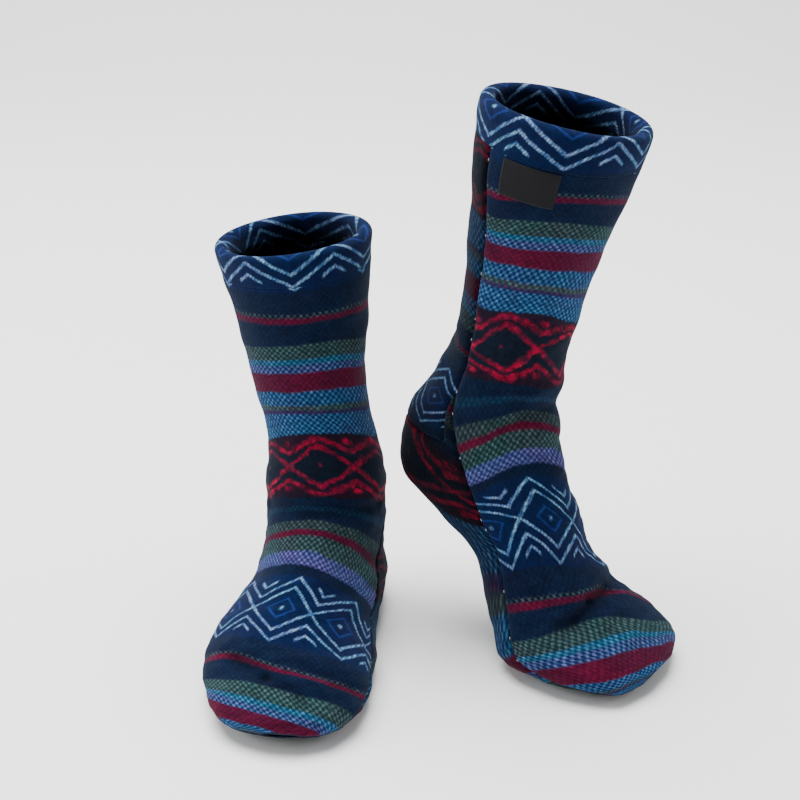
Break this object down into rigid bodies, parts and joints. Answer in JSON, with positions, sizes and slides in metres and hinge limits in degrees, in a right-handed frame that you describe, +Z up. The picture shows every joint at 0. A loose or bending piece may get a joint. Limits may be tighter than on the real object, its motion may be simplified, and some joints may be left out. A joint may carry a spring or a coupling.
{
  "type": "pair of fleece socks",
  "caption": "Pair of ankle-high printed fleece socks, hollow and filled out as worn, one standing flat and one with its heel raised.",
  "frame": {"origin": "middle of the flat sock's ankle, 110 mm above the floor under its sole, where the wearer's ankle holds it", "axes": "+Z up, -Y towards the flat sock's toe, +X to the raised sock's side of the pair"},
  "size_m": [0.3339, 0.2512, 0.4056],
  "materials": {
    "front_fleece": "printed fleece with a short matte nap: navy with crimson, green, blue and white bands of diamonds",
    "back_fleece": "the same printed fleece, matte",
    "sole_fleece": "the same printed fleece, matte",
    "cuff_fleece": "the same printed fleece folded double, matte, with a light blue zigzag",
    "label_cloth": "black woven tape, bare, with a fine rib"
  },
  "bodies": {
    "root": {"flat_front_panel": "front_fleece", "flat_back_panel": "back_fleece", "flat_sole_panel": "sole_fleece", "flat_cuff": "cuff_fleece", "raised_front_panel": "front_fleece", "raised_back_panel": "back_fleece", "raised_sole_panel": "sole_fleece", "raised_cuff": "cuff_fleece", "raised_label": "label_cloth"}
  },
  "joints": []
}
